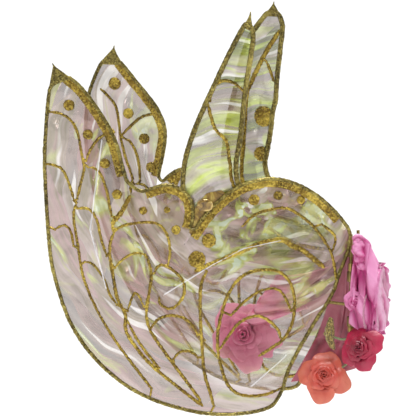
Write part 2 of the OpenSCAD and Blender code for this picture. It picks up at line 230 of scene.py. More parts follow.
class Finish:
    """A node material under construction, with short calls for the nodes that these finishes use."""

    def __init__(self, name, **sockets):
        self.material = bpy.data.materials.new(name)
        self.material.use_nodes = True
        self.nodes = self.material.node_tree.nodes
        self.links = self.material.node_tree.links
        self.shader = self.nodes["Principled BSDF"]
        self.place = self.nodes.new("ShaderNodeTexCoord").outputs["Object"]
        for socket, value in sockets.items():
            self.shader.inputs[socket.replace("_", " ")].default_value = value

    def feed(self, socket, value):
        if isinstance(value, bpy.types.NodeSocket):
            self.links.new(value, socket)
        elif hasattr(value, "__len__") and len(value) == 3 and len(socket.default_value) == 4:
            socket.default_value = (*value, 1)
        else:
            socket.default_value = value

    def sum(self, action, a, b=0.0):
        node = self.nodes.new("ShaderNodeMath")
        node.operation = action
        self.feed(node.inputs[0], a)
        self.feed(node.inputs[1], b)
        return node.outputs[0]

    def framed(self, turn, origin=(0, 0, 0), size=(1, 1, 1)):
        """Coordinates measured from a place of its own, turned about the upright."""
        node = self.nodes.new("ShaderNodeMapping")
        node.vector_type = "TEXTURE"
        node.inputs["Location"].default_value = origin
        node.inputs["Rotation"].default_value = (0, 0, turn)
        node.inputs["Scale"].default_value = size
        self.feed(node.inputs["Vector"], self.place)
        return node.outputs["Vector"]

    def sweep(self, turn, origin, long, wide, wander=0.012, shift=0.0):
        """Coordinates that run round a centre, for folds that are long round it and narrow across."""
        apart = self.nodes.new("ShaderNodeSeparateXYZ")
        self.feed(apart.inputs[0], self.framed(turn, origin))
        u, w = apart.outputs[0], apart.outputs[2]
        r = self.sum("SQRT", self.sum("ADD", self.sum("MULTIPLY", u, u), self.sum("MULTIPLY", w, w)))
        wobble = self.sum("MULTIPLY", self.noise(16, 1), wander * 2)
        joined = self.nodes.new("ShaderNodeCombineXYZ")
        self.feed(joined.inputs[0], self.sum("MULTIPLY", self.sum("DIVIDE", u, r), long))
        self.feed(joined.inputs[1], self.sum("MULTIPLY", self.sum("DIVIDE", w, r), long))
        across = self.sum("DIVIDE", self.sum("ADD", r, wobble), wide)
        self.feed(joined.inputs[2], self.sum("ADD", across, shift))
        return joined.outputs[0]

    def noise(self, scale, detail=3.0, vector=None, rough=0.55, warp=0.0):
        node = self.nodes.new("ShaderNodeTexNoise")
        node.inputs["Scale"].default_value = scale
        node.inputs["Detail"].default_value = detail
        node.inputs["Roughness"].default_value = rough
        node.inputs["Distortion"].default_value = warp
        self.feed(node.inputs["Vector"], vector or self.place)
        return node.outputs["Fac"]

    def cells(self, scale, output="Color", vector=None, feature="F1"):
        node = self.nodes.new("ShaderNodeTexVoronoi")
        node.feature = feature
        node.inputs["Scale"].default_value = scale
        self.feed(node.inputs["Vector"], vector or self.place)
        return node.outputs[output]

    def ramp(self, source, *stops, steps="LINEAR"):
        node = self.nodes.new("ShaderNodeValToRGB")
        node.color_ramp.interpolation = steps
        for i, (at, colour) in enumerate(stops):
            stop = node.color_ramp.elements[i] if i < 2 else node.color_ramp.elements.new(at)
            stop.position = at
            stop.color = (*colour, 1) if hasattr(colour, "__len__") else (colour, colour, colour, 1)
        self.feed(node.inputs["Fac"], source)
        return node.outputs["Color"]

    def mix(self, share, a, b, mode="MIX"):
        node = self.nodes.new("ShaderNodeMix")
        node.data_type = "RGBA"
        node.blend_type = mode
        self.feed(node.inputs[0], share)
        self.feed(node.inputs[6], a)
        self.feed(node.inputs[7], b)
        return node.outputs[2]

    def one(self, colour):
        """One channel of a random colour, as an even spread from 0 to 1."""
        node = self.nodes.new("ShaderNodeSeparateColor")
        self.feed(node.inputs[0], colour)
        return node.outputs[0]

    def carried(self, name):
        node = self.nodes.new("ShaderNodeAttribute")
        node.attribute_name = name
        return node.outputs["Fac"]

    def bump(self, height, distance, strength=1.0, under=None):
        node = self.nodes.new("ShaderNodeBump")
        node.inputs["Strength"].default_value = strength
        node.inputs["Distance"].default_value = distance
        self.feed(node.inputs["Height"], height)
        if under is not None:
            self.feed(node.inputs["Normal"], under)
        return node.outputs["Normal"]

    def to(self, socket, value):
        self.feed(self.shader.inputs[socket], value)
        return self


def rainbow_film(name, side, swirl, shift, tints, clear, thick, shine, thin_spots=(), lime_spots=()):
    film = Finish(name, Roughness=0.17, Metallic=shine, IOR=1.5, Specular_IOR_Level=0.9, Coat_Weight=0.6,
                  Coat_Roughness=0.06, Thin_Film_Thickness=thick, Thin_Film_IOR=1.8)
    turn = math.pi - hand(side) * rest_turn
    centre = wing_spot(side, *swirl)
    broad = film.sweep(turn, centre, 1.6, 0.017, 0.012, shift)
    narrow = film.sweep(turn, centre, 2.0, 0.0095, 0.016, shift + 40)
    ribbon = film.one(film.cells(1.0, "Color", broad))
    shade = film.noise(1.0, 3, narrow, 0.5, 0.6)
    tone = film.mix(0.5, ribbon, shade)
    colour = film.ramp(tone, *tints)
    # Painted highlight: broad pearly patches where the colour is lightened towards pale buff, as soft reflections on
    # the crinkled film.
    painted_pearly_highlight = film.ramp(film.noise(0.8, 2, broad, 0.5, 0.5), (0.52, 0.0), (0.72, 0.6))
    colour = film.mix(painted_pearly_highlight, colour, (0.58, 0.49, 0.40))
    # Painted highlight: thin bright streaks along the narrow folds, lightened almost to white.
    painted_streak_highlight = film.ramp(film.noise(0.9, 1, narrow, 0.5, 0.4), (0.63, 0.0), (0.68, 0.9))
    colour = film.mix(painted_streak_highlight, colour, (0.84, 0.80, 0.74))
    patch = film.noise(0.9, 2, film.sweep(turn, centre, 3.4, 0.016, 0.02, shift + 70), 0.5, 0.9)
    for u, w, size in lime_spots:
        apart = film.nodes.new("ShaderNodeVectorMath")
        apart.operation = "LENGTH"
        film.feed(apart.inputs[0], film.framed(turn, wing_spot(side, u, w), (size, size, size)))
        patch = film.sum("ADD", patch, film.ramp(apart.outputs["Value"], (0.3, 0.15), (1.0, 0.0)))
    colour = film.mix(film.ramp(patch, (0.58, 0.0), (0.68, 0.9)), colour, tints[-1][1])
    # Painted glints: where a lime patch is strongest the colour breaks into small bright facets of yellow and pale
    # mint.
    painted_glint = film.mix(film.one(film.cells(120, "Color", film.framed(turn, centre))), (0.62, 0.60, 0.12), (0.68, 0.80, 0.66))
    colour = film.mix(film.ramp(patch, (0.67, 0.0), (0.71, 0.8)), colour, painted_glint)
    # Along a hard crease the film is painted near white and made opaque: partly the crease's own whitening, partly a
    # painted highlight.
    crease = film.carried("crease")
    film.to("Base Color", film.mix(crease, colour, (0.95, 0.94, 0.95)))
    cover = film.ramp(film.mix(0.5, ribbon, shade), (0.25, clear[0]), (0.5, clear[1]), (0.8, clear[2]))
    for u, w, size, share in thin_spots:
        apart = film.nodes.new("ShaderNodeVectorMath")
        apart.operation = "LENGTH"
        film.feed(apart.inputs[0], film.framed(turn, wing_spot(side, u, w), (size, size, size)))
        cover = film.mix(1.0, cover, film.ramp(apart.outputs["Value"], (0.55, share), (1.0, 1.0)), "MULTIPLY")
    film.to("Alpha", film.mix(crease, cover, (1, 1, 1)))
    ribs = film.bump(film.cells(1.0, "Distance", broad, "DISTANCE_TO_EDGE"), 0.0025, 0.5)
    fine = film.bump(film.noise(1.0, 3, narrow, 0.6, 0.8), 0.0016, 0.6, ribs)
    film.to("Normal", film.bump(film.noise(320, 2), 0.0004, 0.35, fine))
    return film.material


mauve_tints = ((0.22, (0.075, 0.048, 0.018)), (0.36, (0.23, 0.140, 0.085)), (0.48, (0.40, 0.225, 0.20)),
               (0.60, (0.24, 0.19, 0.085)), (0.72, (0.52, 0.42, 0.38)), (0.84, (0.46, 0.52, 0.09)))
lime_tints = ((0.22, (0.055, 0.055, 0.004)), (0.34, (0.27, 0.17, 0.13)), (0.44, (0.44, 0.50, 0.035)),
              (0.56, (0.15, 0.16, 0.010)), (0.68, (0.60, 0.50, 0.48)), (0.84, (0.66, 0.80, 0.09)))
# The hard creases of the near film: each is raised as a ridge and painted white along its line, partly as its own
# whitening and partly as a painted highlight.
lower_creases = [[(0.187, -0.004), (0.139, 0.026), (0.108, 0.042), (0.070, 0.050)], [(0.099, -0.097), (0.064, -0.066)],
                 [(0.250, 0.150), (0.262, 0.060), (0.246, 0.000)]]
thin_spots = ((0.106, -0.042, 0.070, 0.16), (0.054, 0.046, 0.042, 0.35))
lime_spots = ((0.070, 0.066, 0.045), (0.118, 0.062, 0.040), (0.130, 0.020, 0.035), (0.036, 0.066, 0.026),
              (0.048, 0.000, 0.026), (0.222, 0.035, 0.030))
for side in ("right", "left"):
    near = side == "right"
    held = [side + "_veins", side + "_margin_bands", side + "_dots"]
    film = stretched_film(side + "_film_sheet", side, side + "_film", held, bow_radius, wing_swirl, 3 if near else 9,
                          lower_creases if near else [])
    film.data.materials.append(rainbow_film(side + "_rainbow_film", side, wing_swirl, 0 if near else 7, mauve_tints,
                                            (0.72, 0.80, 0.90), 430, 0.22, thin_spots if near else (),
                                            lime_spots if near else [(0.250, 0.140, 0.05)]))
    petal = stretched_film(side + "_petal_film_sheet", side, side + "_petal_film", [side + "_petal_veins"],
                           bow_radius - petal_gap, petal_swirl, 21 if near else 31)
    petal.data.materials.append(rainbow_film(side + "_petal_rainbow", side, petal_swirl, 15 if near else 23,
                                             lime_tints, (0.70, 0.84, 0.93), 520, 0.35))


# Glitter. The wire outline, the broad margin bands, the veins and the dots are all gold glitter set in
# clear glue: flakes under a millimetre across that each face their own way, olive in shade.
def glitter(name, deep, mid, bright, flake=1000):
    grain = Finish(name, Metallic=0.8, Roughness=0.36, Specular_IOR_Level=0.6, Coat_Weight=0.2, Coat_Roughness=0.15)
    flakes = grain.cells(flake)
    fleck = grain.ramp(grain.cells(flake * 0.63), (0.10, deep), (0.45, mid), (0.92, bright))
    drift = grain.ramp(grain.noise(45, 3), (0.36, deep), (0.52, mid), (0.70, bright))
    grain.to("Base Color", grain.mix(0.45, fleck, drift))
    grain.to("Normal", grain.bump(flakes, 0.0007, 0.9))
    return grain.material


gold = glitter("gold_glitter", (0.060, 0.036, 0.005), (0.29, 0.18, 0.022), (0.86, 0.66, 0.11))
wire_gold = glitter("wire_glitter", (0.040, 0.030, 0.006), (0.17, 0.125, 0.025), (0.60, 0.50, 0.13))


def dressed(node, material, round_off=2, lumps=0.0, swell=0.0, melt=0.0):
    """A frame piece in its own finish; glue swells a little, runs together and sets lumpy."""
    piece = nodes[node]
    piece.data.materials.clear()
    piece.data.materials.append(material)
    weld = piece.modifiers.new("weld", "WELD")
    weld.merge_threshold = 0.00002
    if swell:
        growth = piece.modifiers.new("swell", "DISPLACE")
        growth.strength = swell
        growth.mid_level = 0
    if melt:
        skin = piece.modifiers.new("melt", "REMESH")
        skin.mode = "VOXEL"
        skin.voxel_size = melt
        skin.use_smooth_shade = True
    elif round_off:
        rounding = piece.modifiers.new("rounding", "SUBSURF")
        rounding.levels = round_off
        rounding.render_levels = round_off
    if lumps:
        clouds = bpy.data.textures.new(node + "_lumps", "CLOUDS")
        clouds.noise_scale = 0.0026
        grain = piece.modifiers.new("lumps", "DISPLACE")
        grain.texture = clouds
        grain.strength = lumps
        grain.mid_level = 0.4
        grain.texture_coords = "LOCAL"
    return piece


for side in ("right", "left"):
    dressed(side + "_frame_wire", wire_gold, 2, 0.0012)
    dressed(side + "_petal_wire", wire_gold, 2, 0.0012, 0.0012)
    dressed(side + "_margin_bands", gold, 0, 0.0014, 0.0003, 0.0008)
    dressed(side + "_veins", gold, 0, 0.0011, 0.0005, 0.0007)
    dressed(side + "_petal_veins", gold, 0, 0.0011, 0.0005, 0.0007)
    dressed(side + "_dots", gold, 0, 0.0016, 0.0006, 0.0007)


# Vein joins. The glue lines are drawn one after another, and each is drawn on to meet the line or the wire
# that it starts and ends at, with a small bead where they meet.
def taper(form, start, end, thick, thin):
    """A short round strand between two places, a little uneven, with closed ends."""
    around, steps = 10, 6
    lay = (end - start).to_track_quat("Z", "Y").to_matrix()
    rings = []
    for k in range(steps):
        t = k / (steps - 1)
        ring = []
        for i in range(around):
            turn = math.tau * i / around
            r = (thick + (thin - thick) * t) * (1 + 0.16 * noise.noise(Vector((i * 1.7, k * 1.3, start.x * 90))))
            ring.append(form.verts.new(start.lerp(end, t) + lay @ Vector((r * math.cos(turn), r * math.sin(turn), 0))))
        rings.append(ring)
    for a, b in zip(rings, rings[1:]):
        for i in range(around):
            j = (i + 1) % around
            form.faces.new((a[i], a[j], b[j], b[i])).smooth = True
    form.faces.new(rings[0][::-1])
    form.faces.new(rings[-1])


def placed(form, name, material, body):
    """Turns a finished form into a piece of the object that moves with a body."""
    mesh = bpy.data.meshes.new(name)
    form.to_mesh(mesh)
    form.free()
    mesh.materials.append(material)
    piece = bpy.data.objects.new(name, mesh)
    bpy.context.scene.collection.objects.link(piece)
    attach(piece, body)
    return piece


def furthest(start):
    """The vertex at the far end of a strand, and every vertex of the strand."""
    best = {start: 0.0}
    queue = [(0.0, start.index, start)]
    while queue:
        so_far, _, v = heapq.heappop(queue)
        if so_far > best[v]:
            continue
        for e in v.link_edges:
            other = e.other_vert(v)
            total = so_far + e.calc_length()
            if total < best.get(other, 9e9):
                best[other] = total
                heapq.heappush(queue, (total, other.index, other))
    return max(best, key=best.get), set(best)


def glue_lines(node):
    """Each separate glue line of a vein set, as its points and the places where it starts and ends."""
    form = bmesh.new()
    form.from_mesh(nodes[node].data)
    bmesh.ops.remove_doubles(form, verts=form.verts, dist=0.00002)
    left = set(form.verts)
    lines = []
    while left:
        first, members = furthest(next(iter(left)))
        second, _ = furthest(first)
        ends = []
        for tip in (first, second):
            close = [v.co for v in members if (v.co - tip.co).length < 0.0026]
            ends.append(sum(close, Vector()) / len(close))
        lines.append(([v.co.copy() for v in members], ends))
        left -= members
    form.free()
    return lines


for side in ("right", "left"):
    for veins, others in (("_veins", ("_frame_wire", "_margin_bands")), ("_petal_veins", ("_petal_wire",))):
        lines = glue_lines(side + veins)
        marks = [(co, i) for i, (points, _) in enumerate(lines) for co in points]
        marks += [(v.co, -1) for other in others for v in nodes[side + other].data.vertices]
        tree = kdtree.KDTree(len(marks))
        for i, (co, _) in enumerate(marks):
            tree.insert(co, i)
        tree.balance()
        joins = bmesh.new()
        for own, (_, ends) in enumerate(lines):
            for end in ends:
                reached = [(far, co) for co, i, far in tree.find_range(end, 0.0085) if marks[i][1] != own]
                if reached:
                    _, goal = min(reached, key=lambda found: found[0])
                    run = (goal - end).normalized()
                    taper(joins, end - run * 0.0012, goal + run * 0.0012, 0.0012, 0.0014)
        joined = placed(joins, side + veins + "_joins", gold, side + "_wing")


# Wrapped tips. At each point of a wing the outline's two wire ends are brought together, filled with glue
# and brushed with the same glitter, so the point ends solid, in a short thorn.
for side in ("right", "left"):
    for node, radius, fill in (("_film", bow_radius, 0.019), ("_petal_film", bow_radius - petal_gap, 0.014)):
        edge = cut_edge(side, side + node)
        size = len(edge)
        sharp = []
        for i, p in enumerate(edge):
            back = next(k for k in range(1, size) if (edge[(i - k) % size] - p).length > fill)
            ahead = next(k for k in range(1, size) if (edge[(i + k) % size] - p).length > fill)
            a, b = edge[(i - back) % size], edge[(i + ahead) % size]
            wide = (a - p).angle(b - p)
            if wide < math.radians(95) and inside(edge, (a + b) / 2) and p.y > 0.12:
                sharp.append((wide, i, back, ahead))
        if not sharp:
            continue
        wide, i, back, ahead = min(sharp)
        corner = [edge[(i + k) % size] for k in range(-back, ahead + 1)]
        middle = sum(corner, Vector((0, 0))) / len(corner)
        corner = [middle + (p - middle) * 1.12 for p in corner]
        patch = bmesh.new()
        front = [patch.verts.new(wing_spot(side, p.x, p.y, 0.0017, radius)) for p in corner]
        rear = [patch.verts.new(wing_spot(side, p.x, p.y, -0.0017, radius)) for p in corner]
        patch.faces.new(front)
        patch.faces.new(rear[::-1])
        for a in range(len(corner)):
            b = (a + 1) % len(corner)
            patch.faces.new((front[b], front[a], rear[a], rear[b]))
        run = (edge[i] - middle).normalized()
        top = edge[i] + run * 0.0035
        foot = edge[i] - run * 0.006
        taper(patch, wing_spot(side, foot.x, foot.y, 0, radius), wing_spot(side, top.x, top.y, 0, radius), 0.0020, 0.0006)
        bmesh.ops.recalc_face_normals(patch, faces=patch.faces)
        tip = placed(patch, side + node + "_tip", wire_gold, side + "_wing")
        melt = tip.modifiers.new("melt", "REMESH")
        melt.mode = "VOXEL"
        melt.voxel_size = 0.0006
        melt.use_smooth_shade = True
        settle = tip.modifiers.new("settle", "SMOOTH")
        settle.iterations = 5


# Gussets and cabochons. A folded triangle of brown organza is caught between the lobes of each wing, and
# a cast resin drop, amber brown with gold dust in it, hides the place where the lobes meet.
gusset_radius = bow_radius - 0.0012
organza = Finish("gusset_organza", Roughness=0.28, Metallic=0.3, Sheen_Weight=0.5, Specular_IOR_Level=0.8)
threads = organza.noise(1.0, 2, organza.framed(0.3, (0, 0, 0), (0.002, 0.002, 0.05)))
organza.to("Base Color", organza.ramp(organza.noise(70, 4, None, 0.6, 1.5), (0.35, (0.12, 0.055, 0.005)),
                                      (0.52, (0.32, 0.19, 0.018)), (0.70, (0.62, 0.48, 0.10))))
organza.to("Normal", organza.bump(threads, 0.0010, 0.6))
resin = Finish("amber_resin", Roughness=0.08, Coat_Weight=1.0, Coat_Roughness=0.03, Metallic=0.35)
resin.to("Base Color", resin.ramp(resin.noise(140, 4, None, 0.6, 1.0), (0.36, (0.10, 0.05, 0.008)),
                                  (0.50, (0.34, 0.20, 0.035)), (0.64, (0.70, 0.52, 0.16))))
resin.to("Normal", resin.bump(resin.noise(90, 2), 0.0010, 0.4))
for side in ("right", "left"):
    gusset = stretched_film(side + "_gusset_sheet", side, side + "_gusset", [side + "_frame_wire"], gusset_radius,
                            wing_swirl, 50)
    gusset.data.materials.append(organza.material)
    drop = dressed(side + "_cabochon", resin.material, 0, 0, 0, 0.0007)
    polish = drop.modifiers.new("polish", "SMOOTH")
    polish.factor = 0.8
    polish.iterations = 22
    drop.modifiers.move(len(drop.modifiers) - 1, 2)


# Root rods. Each wing turns on a brass rod held in two clips; thin brass sleeves cap the rod
# above and below, and soft wire ties bind the upper petal's stem to the lower wing.
def metal(name, dark, light, rough):
    finish = Finish(name, Metallic=1.0, Specular_IOR_Level=0.5)
    rub = finish.noise(1.0, 3, finish.framed(0, (0, 0, 0), (0.0006, 0.0006, 0.02)))
    finish.to("Base Color", finish.ramp(rub, (0.35, dark), (0.65, light)))
    finish.to("Roughness", finish.ramp(finish.noise(160, 3), (0.35, rough), (0.7, rough + 0.18)))
    finish.to("Normal", finish.bump(rub, 0.0002, 0.4))
    return finish.material


rod_brass = metal("rod_brass", (0.16, 0.11, 0.035), (0.40, 0.30, 0.11), 0.28)
brass = metal("sleeve_brass", (0.26, 0.18, 0.05), (0.52, 0.39, 0.14), 0.26)
aged = metal("clip_brass", (0.13, 0.09, 0.03), (0.38, 0.28, 0.11), 0.30)
for side in ("right", "left"):
    dressed(side + "_root_rod", rod_brass, 0)
    dressed(side + "_rod_caps", brass, 0)
    dressed(side + "_petal_ties", brass, 1)


def eased(node, width):
    """Breaks the sharp edges of a pressed or turned part."""
    edge = nodes[node].modifiers.new("broken_edges", "BEVEL")
    edge.width = width
    edge.segments = 2
    edge.angle_limit = math.radians(40)


for node in ("clip_upper_right", "clip_lower_right", "clip_upper_left", "clip_lower_left"):
    dressed(node, aged, 0)
    eased(node, 0.0004)
dressed("rivets", brass, 0)
eased("rivets", 0.0003)

# Back plate. A stiff board under a satin pad takes the four clips; its covering paper is plain and fibrous.
card = Finish("board_card", Roughness=0.8, Specular_IOR_Level=0.2)
fibres = card.noise(420, 4, None, 0.7, 1.0)
card.to("Base Color", card.ramp(fibres, (0.3, (0.62, 0.50, 0.52)), (0.7, (0.78, 0.68, 0.68))))
card.to("Normal", card.bump(fibres, 0.0003, 0.5))
dressed("back_board", card.material, 0)
eased("back_board", 0.0006)


# Satin. The pad, the puffs round it and the swag between the wings are magenta polyester satin, painted darker in the
# folds as shade and pale pink on the crests as a highlight. The puffs are gathered over a little stuffing and caught
# with stitches.
def satin(name, shaded_fold, cloth, lit_crest, rough=0.3, levels=(0.12, 0.48, 0.86)):
    finish = Finish(name, Roughness=rough, Sheen_Weight=0.12, Sheen_Roughness=0.35, Specular_IOR_Level=0.6,
                    Coat_Weight=0.15, Coat_Roughness=0.3)
    finish.shader.inputs["Sheen Tint"].default_value = (*lit_crest, 1)
    # Painted shade and highlight: the stored share from valley to crest sets the colour, from the dark fold colour in
    # the valleys to the pale crest colour on top, with a little random noise.
    height = finish.carried("lit_crest")
    tone = finish.mix(0.3, height, finish.noise(60, 3, None, 0.5, 1.2))
    finish.to("Base Color", finish.ramp(tone, *zip(levels, (shaded_fold, cloth, lit_crest))))
    weave = finish.noise(1.0, 1, finish.framed(0.5, (0, 0, 0), (0.0005, 0.0005, 0.004)))
    soft = finish.bump(finish.noise(150, 3, None, 0.5, 0.8), 0.0012, 0.5)
    finish.to("Normal", finish.bump(weave, 0.00012, 0.3, soft))
    return finish.material


magenta = satin("magenta_satin", (0.22, 0.015, 0.08), (0.52, 0.055, 0.22), (0.84, 0.33, 0.58))
dusty = satin("dusty_satin", (0.18, 0.03, 0.045), (0.42, 0.085, 0.13), (0.66, 0.24, 0.30))
pale_pink = satin("pink_satin", (0.15, 0.006, 0.04), (0.48, 0.04, 0.14), (0.82, 0.30, 0.42))


def gathers(lay, long, wide, deep, seed):
    """Folds that run along a direction: puffed crests with sharp valleys between them."""
    turn = lay.to_track_quat("Z", "Y").inverted()

    def height(p):
        q = turn @ p
        s = Vector((q.x / wide, q.y / wide, q.z / long))
        s += noise.noise_vector(s * 0.6 + Vector((seed, 0, 0))) * 0.55
        big = min(1, abs(noise.noise(s + Vector((0, seed, 0)))) * 2.8) ** 0.6
        small = min(1, abs(noise.noise(s * 2.3 + Vector((0, seed + 4, 0)))) * 2.8) ** 0.7
        # The second value, from valley to crest, is what the satin paints: darker in the valleys as shade, lighter on
        # the crests as a highlight.
        return deep * (0.75 * big + 0.25 * small), 0.75 * big + 0.25 * small
    return height


def remade(name, node, grain, height, sink, material, easing=4):
    """A soft piece made again at fine grain from the frame's own block, with its folds raised on it."""
    block = bpy.data.objects.new(name, nodes[node].data.copy())
    bpy.context.scene.collection.objects.link(block)
    skin = block.modifiers.new("skin", "REMESH")
    skin.mode = "VOXEL"
    skin.voxel_size = grain
    ease = block.modifiers.new("ease", "SMOOTH")
    ease.iterations = easing
    made = bpy.data.meshes.new_from_object(block.evaluated_get(bpy.context.evaluated_depsgraph_get()))
    block.modifiers.clear()
    block.data = made
    # The share from valley to crest is stored on each point for the satin's painted shade and highlight.
    lit_crest = made.attributes.new("lit_crest", "FLOAT", "POINT")
    normals = [v.normal.copy() for v in made.vertices]
    for v, normal in zip(made.vertices, normals):
        rise, share = height(v.co)
        lit_crest.data[v.index].value = share
        v.co += normal * (rise - sink)
    made.shade_smooth()
    made.materials.clear()
    made.materials.append(material)
    finer = block.modifiers.new("finer", "SUBSURF")
    finer.levels = 1
    finer.render_levels = 1
    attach(block, "root")
    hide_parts(node)
    return block


pad = remade("satin_pad", "back_pad", 0.0014, gathers(Vector((0.2, 1, -0.9)), 0.05, 0.017, 0.0042, 3), 0.0026,
             magenta, 10)
puffs = {"puff_top": (Vector((1, 0.2, -0.5)), 0.030, 0.008, 0.0050, 8, magenta, "magenta_satin"),
         "satin_sash": (Vector((-1, 0, -0.2)), 0.055, 0.012, 0.0050, 41, pale_pink, "pink_satin")}
for node, (lay, long, wide, deep, seed, cloth, slot) in puffs.items():
    puff = remade(node + "_cloth", node, 0.0013, gathers(lay, long, wide, deep, seed), deep * 0.45, cloth)


def hung_cloth(name, node, spots, folds, deep, seed, material):
    """A cut of satin between two hung edges, with soft folds down it. spots gives its corners and middles
    as rows from the top down, each row a list of points from the left to the right."""
    across, down = 40, 54
    form = bmesh.new()
    lit_crest = form.verts.layers.float.new("lit_crest")

    def along(line, t):
        at = t * (len(line) - 1)
        k = min(int(at), len(line) - 2)
        f = at - k
        f = f * f * (3 - 2 * f)
        return line[k].lerp(line[k + 1], f)

    grid = []
    for i in range(down):
        t = i / (down - 1)
        row = []
        for k in range(across):
            share = k / (across - 1)
            base = along([along([Vector(p) for p in line], share) for line in spots], t)
            s = Vector((share * folds + 0.5 * t, t * 1.6, seed))
            s += noise.noise_vector(s * 0.7) * 0.5
            big = min(1, abs(noise.noise(s)) * 2.8) ** 0.65
            small = min(1, abs(noise.noise(s * 2.2)) * 2.8) ** 0.7
            height = 0.72 * big + 0.28 * small
            loose = 0.35 + 0.65 * math.sin(math.pi * min(1, t * 1.05))
            vert = form.verts.new(base + Vector((0, -1, 0)) * deep * loose * (height - 0.5))
            # The fold height is stored for the satin's painted shade in the valleys and painted highlight on the
            # crests.
            vert[lit_crest] = height
            row.append(vert)
        grid.append(row)
    for a, b in zip(grid, grid[1:]):
        for k in range(across - 1):
            form.faces.new((a[k], a[k + 1], b[k + 1], b[k])).smooth = True
    area = sum(f.calc_area() for f in form.faces)
    cloth = placed(form, name, material, "root")
    finer = cloth.modifiers.new("finer", "SUBSURF")
    finer.levels = 1
    finer.render_levels = 1
    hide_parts(node)


hung_cloth("satin_fall", "puff_side",
           [[(-0.025, -0.028, 0.050), (-0.018, -0.036, 0.054), (-0.006, -0.034, 0.048), (0.003, -0.032, 0.030)],
            [(-0.025, -0.027, 0.026), (-0.020, -0.025, 0.022), (-0.008, -0.037, 0.022), (0.003, -0.036, 0.010)],
            [(-0.027, -0.028, 0.002), (-0.021, -0.024, 0.002), (-0.010, -0.037, -0.006), (0.001, -0.036, -0.014)],
            [(-0.0275, -0.029, -0.016), (-0.020, -0.036, -0.016), (-0.009, -0.036, -0.028), (-0.002, -0.034, -0.038)],
            [(-0.0280, -0.030, -0.034), (-0.018, -0.034, -0.040), (-0.008, -0.033, -0.048), (-0.002, -0.030, -0.052)]],
           1.9, 0.010, 4, magenta)
hung_cloth("satin_tail_fall", "satin_tail",
           [[(-0.050, -0.004, 0.030), (-0.034, -0.010, 0.034), (-0.013, -0.013, 0.026)],
            [(-0.054, -0.003, -0.012), (-0.036, -0.011, -0.012), (-0.011, -0.016, -0.018)],
            [(-0.070, 0.002, -0.056), (-0.044, -0.003, -0.060), (-0.014, -0.016, -0.058)],
            [(-0.097, 0.004, -0.104), (-0.064, 0.000, -0.098), (-0.026, -0.010, -0.084)]],
           2.4, 0.008, 14, dusty)

# Pad edging. A strip of the same satin is gathered round the rim of the pad and stands out as a small frill.
pad_low, pad_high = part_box("back_pad")
half = (pad_high[1] - pad_low[1]) / 2
foot = 0.014
rim = []
for k in range(61):
    turn = math.pi * k / 60
    rim.append(Vector((half * math.cos(turn), pad_high[2] - half + half * math.sin(turn))))
for hub, begin in ((-half + foot, math.pi), (half - foot, 1.5 * math.pi)):
    for k in range(25):
        turn = begin + math.pi / 2 * k / 24
        rim.append(Vector((hub + foot * math.cos(turn), pad_low[2] + foot + foot * math.sin(turn))))
rim.append(rim[0])
steps = []
for a, b in zip(rim, rim[1:]):
    count = max(1, int((b - a).length / 0.0007))
    steps += [(a.lerp(b, k / count), Vector(((b - a).y, -(b - a).x)).normalized()) for k in range(count)]
frill = bmesh.new()
lit_crest = frill.verts.layers.float.new("lit_crest")
grid = []
for k, (at, out) in enumerate(steps):
    phase = k * 0.30 + 2.6 * noise.noise(Vector((k * 0.045, 3, 1)))
    tall = 0.0064 + 0.0024 * noise.noise(Vector((k * 0.03, 7, 2)))
    row = []
    for t in (0, 0.2, 0.4, 0.6, 0.8, 1.0):
        sway = math.sin(phase + 0.5 * t) * t
        spot = at + out * (tall * t * (1 + 0.07 * math.cos(phase * 0.5)) - 0.001)
        vert = frill.verts.new((-0.0034 + 0.0034 * sway, spot.x, spot.y))
        # The stored value follows the frill's sway, so the satin paints one side of each wave lighter as a highlight
        # and the other darker as shade.
        vert[lit_crest] = 0.45 + 0.4 * sway
        row.append(vert)
    grid.append(row)
for a, b in zip(grid, grid[1:] + grid[:1]):
    for k in range(5):
        frill.faces.new((a[k], a[k + 1], b[k + 1], b[k])).smooth = True
area = sum(f.calc_area() for f in frill.faces)
edging = placed(frill, "pad_frill", magenta, "root")

# Shoulder straps. Flat woven elastic, ribbed across its width, is stitched to the board behind the pad.
elastic = Finish("strap_elastic", Roughness=0.75, Sheen_Weight=0.3)
weft = elastic.noise(1.0, 2, elastic.framed(0, (0, 0, 0), (0.02, 0.0009, 0.0009)))
elastic.to("Base Color", elastic.ramp(weft, (0.35, (0.46, 0.14, 0.25)), (0.65, (0.62, 0.28, 0.38))))
elastic.to("Normal", elastic.bump(weft, 0.0004, 0.7))
for side in ("right", "left"):
    def ribs(p):
        share = 0.5 + 0.5 * math.sin((p.y + p.z) * 2600)
        return 0.0002 * share, share
    strap = remade("strap_" + side + "_elastic", "strap_" + side, 0.0006, ribs, 0.0001, elastic.material, 1)
    strap.modifiers.clear()


